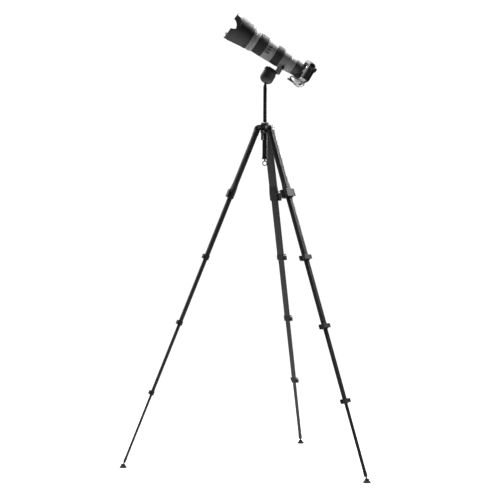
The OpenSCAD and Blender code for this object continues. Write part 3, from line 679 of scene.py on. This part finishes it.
def angle_tab(leg):
    """The spring tab that picks a leg's spread angle."""
    bm = bmesh.new()
    block(bm, (TAB_X, 0, -6.0), (3.0, 13.0, 17.0), 1.2, 0.5)
    for rib in range(4):
        tube(bm, [(TAB_X + 1.7, -4.6, -1.5 - 2.6 * rib), (TAB_X + 1.7, 4.6, -1.5 - 2.6 * rib)], 0.6)
    piece(f"leg_{leg}_angle_tab", bm, LEG[leg], "steel", f"leg_{leg}_section_1")


for leg in LEGS:
    angle_tab(leg)
    for lock in LOCKS:
        lever_ribs(leg, lock)
        lock_screws(leg, lock)


BUSH_TEETH = 18
BUSH_CUT = 0.35


def column_bush():
    """A split bush where the column leaves the spider."""
    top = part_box("spider")[1].z / MM
    radius = (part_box("centre_column")[1].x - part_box("centre_column")[0].x) / 2 / MM
    turn = Matrix.Rotation(-math.pi / 2, 4, "Y")
    profile = [(top - 0.4, radius + 0.35), (top - 0.4, radius + 2.0), (top + 0.5, radius + 2.0),
               (top + 0.9, radius + 1.4), (top + 0.9, radius + 0.35)]

    def relief(k, station, angle):
        cut = k in (2, 3) and int(angle * BUSH_TEETH / math.pi) % 2
        return BUSH_CUT if cut else 0.0

    bm = bmesh.new()
    revolve(bm, profile, 96, relief)
    piece("column_bush", bm, UPRIGHT @ turn, "knob", "spider")


column_bush()


# ---- lens details ----
BAND = 3.0
GROOVE = 1.0
INNER_R = {"focus_ring": 37.4, "zoom_ring": 35.6}


def grip_ring(node, teeth, rows):
    """A ribbed rubber ring: rows of raised pads between two plain bands. It stands for the CAD ring."""
    low, high = local_box(node, LENS)
    outer = high.z
    inner = INNER_R[node]
    start, end = low.x + BAND, high.x - BAND
    pitch = (end - start) / rows
    steps = teeth * 8
    profile = [(low.x, inner), (low.x, outer - 0.5), (low.x + 0.5, outer)]
    flags = [0, 0, 0]
    for row in range(rows):
        left = start + row * pitch
        for part, low_flag in ((0.0, 1), (0.12, 2), (0.88, 2), (0.999, 1)):
            profile.append((left + part * pitch, outer))
            flags.append(low_flag)
    profile += [(high.x - 0.5, outer), (high.x, outer - 0.5), (high.x, inner)]
    flags += [0, 0, 0]

    def relief(k, station, angle):
        if flags[k] == 0:
            return 0.0
        if flags[k] == 1:
            return GROOVE
        tooth = (angle * teeth / (2 * math.pi)) % 1.0
        return GROOVE if tooth < 0.25 else 0.0

    bm = bmesh.new()
    revolve(bm, profile, steps, relief)
    made = piece(node + "_grip", bm, LENS, "grip", node)
    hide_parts(node)


grip_ring("focus_ring", 60, 5)
grip_ring("zoom_ring", 56, 4)


MID_R = 41.0
MID_X = (-65.0, -40.5)
VIEWER_SIDE = 180.0
PANEL_SIDE = 192.0
TOP_SIDE = 90.0
SLOT_X = (-60.0, -46.0)
SLIDE_X = (-54.2, -47.4)
SLIDE_RIB_X = -53.0
WINDOW_X = -53.0


def around(radius, degrees, station):
    a = math.radians(degrees)
    return (station, radius * math.cos(a), radius * math.sin(a))


def switch_panel():
    """A panel with three slide switches on the photographer's left of the barrel."""
    bm = bmesh.new()
    curved_panel(bm, MID_X[0], MID_X[1], PANEL_SIDE, 27.0, MID_R - 0.3, MID_R + 0.9)
    piece("switch_panel", bm, LENS, "panel", "camera")
    for number, middle in enumerate((-17.0, 0.0, 17.0), 1):
        side = PANEL_SIDE + middle
        bm = bmesh.new()
        curved_panel(bm, SLOT_X[0], SLOT_X[1], side, 3.4, MID_R + 0.7, MID_R + 1.15)
        piece(f"switch_{number}_slot", bm, LENS, "trim", "camera")
        bm = bmesh.new()
        offset = -3.0 if number == 2 else 2.5
        for rib in range(4):
            x = SLIDE_RIB_X + offset + 1.5 * rib
            curved_panel(bm, x - 0.55, x + 0.55, side, 2.6, MID_R + 1.0, MID_R + 2.3, 4)
        start, end = SLIDE_X[0] + offset, SLIDE_X[1] + offset
        curved_panel(bm, start, end, side, 2.6, MID_R + 1.0, MID_R + 1.8, 4)
        piece(f"switch_{number}", bm, LENS, "knob", "camera")


def distance_window():
    """A dark window with a generic distance scale on top of the barrel."""
    bm = bmesh.new()
    curved_panel(bm, MID_X[0] + 3, MID_X[1] - 4, TOP_SIDE, 15.0, MID_R - 0.3, MID_R + 0.6)
    piece("distance_window", bm, LENS, "trim", "camera")
    for number, (text, degrees) in enumerate((("3", -10.0), ("5", -3.5), ("10", 3.5), ("30", 10.5)), 1):
        def place(x, y, z, degrees=degrees):
            turn = TOP_SIDE + degrees + math.degrees(x / MID_R)
            p = around(MID_R + 0.6 + z, turn, WINDOW_X - y)
            return Vector(p) + Vector((0, 0, AXIS_H))
        figures(f"distance_figure_{number}", text, 3.6, place, "ink", "camera")


def filter_thread():
    """Turned rings inside the nose, in front of the glass."""
    low, _ = local_box("lens_barrel", LENS)
    profile = [(low.x + 0.4, 40.9), (low.x + 15.5, 40.9), (low.x + 15.5, 38.2)]
    for turn in range(12):
        station = low.x + 14.5 - 1.15 * turn
        profile += [(station, 38.6 + 0.13 * turn), (station - 0.55, 39.3 + 0.13 * turn)]
    bm = bmesh.new()
    revolve(bm, profile, 128)
    piece("filter_thread", bm, LENS, "mount", "camera")


def barrel_marks():
    """Index lines beside the zoom ring, and four small screws by the mount."""
    bm = bmesh.new()
    curved_panel(bm, -27.6, -25.2, VIEWER_SIDE - 45, 0.6, 39.8, 40.12, 2)
    for turn in range(0, 360, 90):
        curved_panel(bm, 9.2, 9.9, turn + 45, 0.6, 32.9, 33.1, 2)
    piece("index_marks", bm, LENS, "knob", "camera")
    bm = bmesh.new()
    for turn in range(45, 405, 90):
        centre = Vector(around(33.9, turn, 55.0))
        disc(bm, centre, (0, centre.y, centre.z), 1.3, 0.35, 0.12, 20)
    piece("barrel_screws", bm, LENS, "steel", "camera")


HOOD_LOCK_SIDE = 250.0


def hood_lock():
    """The hood's release button."""
    bm = bmesh.new()
    curved_panel(bm, -147.0, -138.0, HOOD_LOCK_SIDE, 6.0, 48.4, 49.8)
    for rib in range(4):
        curved_panel(bm, -145.6 + 2.0 * rib, -144.8 + 2.0 * rib, HOOD_LOCK_SIDE, 5.0, 49.7, 50.3, 4)
    piece("hood_lock", bm, LENS, "knob", "lens_hood")


switch_panel()
distance_window()
filter_thread()
barrel_marks()
hood_lock()


# ---- camera details ----
BODY_LOW, BODY_HIGH = local_box("camera_body", HEAD)
COVER_LOW, COVER_HIGH = local_box("top_cover", HEAD)
DOOR_LOW, DOOR_HIGH = local_box("back_door", HEAD)
FRONT_X = 110.0
BACK_X = 140.0
CORNER = 12.0
DECK_Z = COVER_LOW.z + DECK_T


def side_skin(name, edge_y, near_y):
    """Leatherette wrapped round one end of the body, from near_y on the front to the back corner."""
    way = 1 if edge_y > 0 else -1
    centre_y = edge_y - way * CORNER
    path = [(FRONT_X, near_y)]
    for s in range(13):
        a = math.radians(180 - 90 * s / 12)
        path.append((FRONT_X + CORNER + CORNER * math.cos(a), centre_y + way * CORNER * math.sin(a)))
    for s in range(9):
        a = math.radians(90 - 70 * s / 8)
        path.append((BACK_X - CORNER + CORNER * math.cos(a), centre_y + way * CORNER * math.sin(a)))
    points = [Vector(p) for p in path]
    low, high = BODY_LOW.z + 3.0, COVER_LOW.z - 2.5
    bm = bmesh.new()
    rows = []
    for k, point in enumerate(points):
        forward = (points[min(k + 1, len(points) - 1)] - points[max(k - 1, 0)]).normalized()
        out = Vector((-forward.y, forward.x)) * way
        inner, outer, soft = point - out * 0.3, point + out * 0.6, point + out * 0.4
        rows.append([(inner.x, inner.y, low), (soft.x, soft.y, low), (outer.x, outer.y, low + 0.3),
                     (outer.x, outer.y, high - 0.3), (soft.x, soft.y, high), (inner.x, inner.y, high)])
    closed_grid(bm, rows, wrap_rows=False)
    piece(name, bm, HEAD, "leather", "camera")


def door_skin():
    """Leatherette on the back door, with a plain memo frame."""
    middle_y = (DOOR_LOW.y + DOOR_HIGH.y) / 2
    middle_z = (DOOR_LOW.z + DOOR_HIGH.z) / 2
    turn = Matrix.Translation((DOOR_HIGH.x, middle_y, middle_z)) @ Matrix.Rotation(math.pi / 2, 4, "Y")
    bm = bmesh.new()
    block(bm, (0, 0, 0.2), (DOOR_HIGH.z - DOOR_LOW.z - 5, DOOR_HIGH.y - DOOR_LOW.y - 9, 0.8), 5.0, 0.25)
    piece("door_skin", bm, HEAD @ turn, "leather", "back_door")
    bm = bmesh.new()
    outline = rounded_outline(30, 36, 2.0)
    path = [(x, y, 1.0) for x, y in outline]
    tube(bm, path, 0.7, 8, closed=True)
    piece("memo_frame", bm, HEAD @ turn, "steel", "back_door")


# distance behind the back of the body, width, height and corner radius
EYECUP = (
    (1.0, 23.4, 16.4, 3.0), (6.0, 23.4, 16.4, 3.5), (9.0, 21.6, 14.8, 4.5),
    (14.0, 25.6, 16.6, 7.0), (16.0, 26.4, 17.2, 7.4), (16.6, 25.0, 16.0, 7.0),
    (15.0, 21.6, 13.4, 5.5), (9.0, 17.4, 10.6, 3.0), (4.4, 16.6, 9.6, 1.5),
    (4.4, 22.2, 15.2, 2.0), (1.0, 22.2, 15.2, 2.0),
)


def eyecup():
    """A flared rubber eyecup on the viewfinder, open in the middle."""
    middle_z = DECK_Z - 0.2
    rows = []
    for back, wide, tall, radius in EYECUP:
        outline = rounded_outline(wide, tall, radius, 8)
        rows.append([(BACK_X + back, py, middle_z + pz) for py, pz in outline])
    bm = bmesh.new()
    closed_grid(bm, rows)
    piece("eyecup", bm, HEAD, "rubber", "camera")


SHOE_X = 121.0
LUG_X = 124.0


def hot_shoe():
    """Accessory shoe: a base plate with two folded rails."""
    top = COVER_HIGH.z
    bm = bmesh.new()
    block(bm, (SHOE_X, 0, top + 0.35), (17.0, 19.0, 0.9), 0.8, 0.2)
    for way in (-1, 1):
        block(bm, (SHOE_X, way * 9.1, top + 1.6), (16.0, 0.9, 2.6), 0.3, 0.15)
        block(bm, (SHOE_X, way * 7.9, top + 2.7), (16.0, 3.2, 0.8), 0.3, 0.15)
    disc(bm, (SHOE_X, 0, top + 0.7), (0, 0, 1), 2.2, 0.3, 0.1)
    piece("hot_shoe", bm, HEAD, "steel", "camera")


def strap_lug(name, edge_y):
    """A bright lug with a triangular split ring."""
    way = 1 if edge_y > 0 else -1
    z = COVER_LOW.z - 6.0
    bm = bmesh.new()
    disc(bm, (LUG_X, edge_y, z), (0, way, 0), 3.4, 1.2)
    tube(bm, [(LUG_X, edge_y + way * 1.0, z), (LUG_X, edge_y + way * 3.4, z)], 1.5, 16)
    loop = smooth_loop([(LUG_X, 1.2), (118.6, -8.0), (129.4, -8.0)], 10)
    path = [(p.x, edge_y + way * (3.4 + 0.12 * abs(p.y)), z + p.y) for p in loop]
    tube(bm, path, 0.75, 8, closed=True)
    piece(name, bm, HEAD, "gunmetal", "camera")


def front_controls():
    """Self-timer lever on the front of the body, and a flash socket."""
    bm = bmesh.new()
    y, z = 48.0, COVER_LOW.z - 12.0
    disc(bm, (FRONT_X + 0.2, y, z), (-1, 0, 0), 5.0, 3.2, 0.5)
    disc(bm, (FRONT_X - 2.9, y, z), (-1, 0, 0), 2.2, 0.8, 0.2, recess=0.4)
    turn = Matrix.Translation((FRONT_X - 2.2, y, z - 8.0)) @ Matrix.Rotation(math.pi / 2, 4, "Y")
    arm = bmesh.new()
    block(arm, (0, 0, 0), (17.0, 4.6, 1.6), 2.2, 0.4)
    arm.transform(turn)
    holder = bpy.data.meshes.new("arm_outline")
    arm.to_mesh(holder)
    arm.free()
    bm.from_mesh(holder)
    bpy.data.meshes.remove(holder)
    piece("self_timer", bm, HEAD, "trim", "camera")
    bm = bmesh.new()
    revolve_at = Matrix.Translation((FRONT_X, -50.0, COVER_LOW.z - 12.0))
    revolve(bm, [(0.4, 1.6), (0.4, 3.6), (-1.4, 3.6), (-1.9, 3.1), (-1.9, 1.9), (-1.4, 1.6)], 40)
    piece("flash_socket", bm, HEAD @ revolve_at, "steel", "camera")


def rewind_crank():
    """The folding crank on the rewind knob."""
    low, high = local_box("rewind_knob", HEAD)
    x, y = (low.x + high.x) / 2, (low.y + high.y) / 2
    bm = bmesh.new()
    block(bm, (x, y, high.z - 0.3), (3.0, 14.0, 1.0), 1.4, 0.25)
    disc(bm, (x, y + 5.2, high.z + 0.1), (0, 0, 1), 1.9, 2.2, 0.5)
    piece("rewind_crank", bm, HEAD, "knob", "rewind_knob")


def dial_figures():
    """Generic shutter-speed figures round the dial's top face."""
    low, high = local_box("speed_dial", HEAD)
    centre = ((low.x + high.x) / 2, (low.y + high.y) / 2, high.z)
    labels = ("1", "2", "4", "8", "15", "30", "60")
    for number, label in enumerate(labels, 1):
        angle = 2 * math.pi * number / len(labels)

        def place(x, y, z, angle=angle):
            out, side = 5.4 + y, x
            return Vector((centre[0] + out * math.cos(angle) + side * math.sin(angle),
                           centre[1] + out * math.sin(angle) - side * math.cos(angle), centre[2] + z))
        figures(f"speed_figure_{number}", label, 2.4, place, "ink", "speed_dial")


def finder_window():
    """The eyepiece's own glass, set back in the tunnel."""
    turn = Matrix.Translation((BACK_X + 1.5, 0, DECK_Z - 0.5)) @ Matrix.Rotation(math.pi / 2, 4, "Y")
    bm = bmesh.new()
    block(bm, (0, 0, 0), (8.6, 15.6, 1.0), 0.6, 0.2)
    piece("finder_window", bm, HEAD @ turn, "glass", "camera")


side_skin("left_skin", BODY_LOW.y, -33.5)
side_skin("right_skin", BODY_HIGH.y, 33.5)
door_skin()
eyecup()
hot_shoe()
strap_lug("left_lug", BODY_LOW.y)
strap_lug("right_lug", BODY_HIGH.y)
front_controls()
rewind_crank()
dial_figures()
finder_window()


# ---- strap ----
STRAP_LOW, STRAP_HIGH = local_box("strap", HEAD)
STRAP_HALF = (STRAP_HIGH.y - STRAP_LOW.y) / 2
WEBBING_T = 1.7


def strap_route():
    """The loop's side view: flat under the base, hanging lowest towards the back."""
    top = STRAP_HIGH.z - WEBBING_T / 2 - 0.1
    low = STRAP_LOW.z - 3.0
    under_base = [(88, top), (112, top), (136, top - 0.2), (144, top - 6)]
    hanging = [(138, low + 8), (128, low + 1), (114, low + 1.8), (98, low + 6), (86, low + 11)]
    return smooth_loop(under_base + hanging + [(81.5, top - 4)], 10)


def strap_band():
    """Webbing with rounded selvedges. It stands for the CAD strap."""
    route = strap_route()
    rows = []
    across = ((-1.0, 0.2), (-0.97, 0.42), (-0.9, 0.5), (0.9, 0.5), (0.97, 0.42), (1.0, 0.2))
    outline = [(w, t) for w, t in across] + [(w, -t) for w, t in reversed(across)]
    for k, point in enumerate(route):
        forward = (route[(k + 1) % len(route)] - route[k - 1]).normalized()
        out = Vector((-forward.y, forward.x))
        sag = 0.25 * math.sin(k * 0.55)
        ring = []
        for w, t in outline:
            p = point + out * (t * WEBBING_T)
            ring.append((p.x, w * STRAP_HALF + sag, p.y))
        rows.append(ring)
    bm = bmesh.new()
    closed_grid(bm, rows)
    made = piece("strap_webbing", bm, HEAD, "webbing", "camera")
    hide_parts("strap")
    return route


SEWN = (62, 84)
STITCHES = 12


def strap_stitching(route):
    """A boxed cross of thread where the loop is sewn closed."""
    bm = bmesh.new()
    stretch = route[SEWN[0]:SEWN[1]]

    def on_strap(along, across):
        k = min(int(along * (len(stretch) - 1)), len(stretch) - 2)
        share = along * (len(stretch) - 1) - k
        point = stretch[k].lerp(stretch[k + 1], share)
        forward = (stretch[k + 1] - stretch[k]).normalized()
        out = Vector((forward.y, -forward.x))
        surface = point + out * (WEBBING_T / 2 + 0.12)
        return Vector((surface.x, across * STRAP_HALF, surface.y))

    corners = ((0.05, -0.8), (0.95, -0.8), (0.95, 0.8), (0.05, 0.8))
    lines = [(corners[k], corners[(k + 1) % 4]) for k in range(4)]
    lines += [(corners[0], corners[2]), (corners[1], corners[3])]
    for a, b in lines:
        for s in range(STITCHES):
            ends = []
            for share in (s / STITCHES, (s + 0.62) / STITCHES):
                ends.append(on_strap(a[0] + (b[0] - a[0]) * share, a[1] + (b[1] - a[1]) * share))
            tube(bm, ends, 0.22, 6)
    piece("strap_stitching", bm, HEAD, "thread", "camera")


def strap_tab():
    """The stiff black end tab, with two rivets."""
    middle_z = STRAP_LOW.z + 3.4
    bm = bmesh.new()
    block(bm, (87.5, 0, middle_z), (26.0, 20.0, 4.0), 3.0, 0.8)
    piece("strap_tab", bm, HEAD, "plastic", "camera")
    bm = bmesh.new()
    for y in (-5.5, 5.5):
        for way in (-1, 1):
            disc(bm, (79.5, y, middle_z + way * 1.95), (0, 0, way), 1.9, 0.6, 0.3)
    piece("strap_rivets", bm, HEAD, "steel", "camera")


strap_stitching(strap_band())
strap_tab()


# ---- studio ----
CAMERA_AT = Vector((-1.1265, -4.9264, 0.8465))
CAMERA_AIM = Vector((0.2120, 0.9773, -0.0006))
CAMERA_ROLL = 0.0054
SENSOR = 36.0
FOCAL = 91.96


def camera():
    forward = CAMERA_AIM.normalized()
    level = forward.cross(Vector((0, 0, 1))).normalized()
    rise = level.cross(forward)
    right = level * math.cos(CAMERA_ROLL) + rise * math.sin(CAMERA_ROLL)
    up = right.cross(forward)
    data = bpy.data.cameras.new("camera")
    data.lens = FOCAL
    data.sensor_width = SENSOR
    data.clip_end = 100.0
    made = bpy.data.objects.new("camera", data)
    turn = Matrix((right, up, -forward)).transposed().to_4x4()
    made.matrix_world = Matrix.Translation(CAMERA_AT) @ turn
    bpy.context.scene.collection.objects.link(made)
    bpy.context.scene.camera = made


def softbox(name, place, target, size, power):
    data = bpy.data.lights.new(name, "AREA")
    data.shape = "RECTANGLE"
    data.size, data.size_y = size
    data.energy = power
    made = bpy.data.objects.new(name, data)
    made.location = place
    made.rotation_euler = (Vector(target) - Vector(place)).to_track_quat("-Z", "Y").to_euler()
    bpy.context.scene.collection.objects.link(made)


FRONT_LIGHT = 0.022
BACK_LIGHT = 0.7
FRONT_END, BACK_END = -0.25, 0.85
SEEN_WHITE = 1.05
FLOOR_R = 40.0
FLOOR_DROP = 0.0005
OVERHEAD_POWER = 165
OVERHEAD_AT, OVERHEAD_AIM = (-0.05, 0.42, 2.95), (0.0, 0.0, 1.65)
OVERHEAD_SIZE = (1.5, 0.8)
STRIP_POWER = 24
STRIP_AT, STRIP_AIM = (1.25, 0.35, 1.75), (0.08, 0.0, 1.15)
STRIP_SIZE = (0.3, 0.6)


def studio():
    """White all round for the camera, and light that comes mostly from behind and above."""
    world = bpy.data.worlds.new("studio")
    bpy.context.scene.world = world
    world.use_nodes = True
    tree = world.node_tree
    background = tree.nodes["Background"]
    direction = tree.nodes.new("ShaderNodeTexCoord").outputs["Generated"]
    split = tree.nodes.new("ShaderNodeSeparateXYZ")
    tree.links.new(direction, split.inputs[0])
    behind = tree.nodes.new("ShaderNodeMapRange")
    tree.links.new(split.outputs[1], behind.inputs["Value"])
    behind.inputs["From Min"].default_value = FRONT_END
    behind.inputs["From Max"].default_value = BACK_END
    behind.inputs["To Min"].default_value = FRONT_LIGHT
    behind.inputs["To Max"].default_value = BACK_LIGHT
    path = tree.nodes.new("ShaderNodeLightPath")
    strength = tree.nodes.new("ShaderNodeMix")
    tree.links.new(path.outputs["Is Camera Ray"], strength.inputs[0])
    tree.links.new(behind.outputs[0], strength.inputs[2])
    strength.inputs[3].default_value = SEEN_WHITE
    tree.links.new(strength.outputs[0], background.inputs["Strength"])
    background.inputs["Color"].default_value = grey(1.0)

    floor = bmesh.new()
    bmesh.ops.create_circle(floor, cap_ends=True, radius=FLOOR_R, segments=96)
    mesh = bpy.data.meshes.new("floor")
    floor.to_mesh(mesh)
    floor.free()
    mesh.materials.append(floor_material())
    ground = bpy.data.objects.new("floor", mesh)
    ground.location.z = -FLOOR_DROP
    bpy.context.scene.collection.objects.link(ground)
    bpy.context.scene.view_settings.view_transform = "Standard"

    softbox("overhead", OVERHEAD_AT, OVERHEAD_AIM, OVERHEAD_SIZE, OVERHEAD_POWER)
    softbox("right_strip", STRIP_AT, STRIP_AIM, STRIP_SIZE, STRIP_POWER)


camera()
studio()
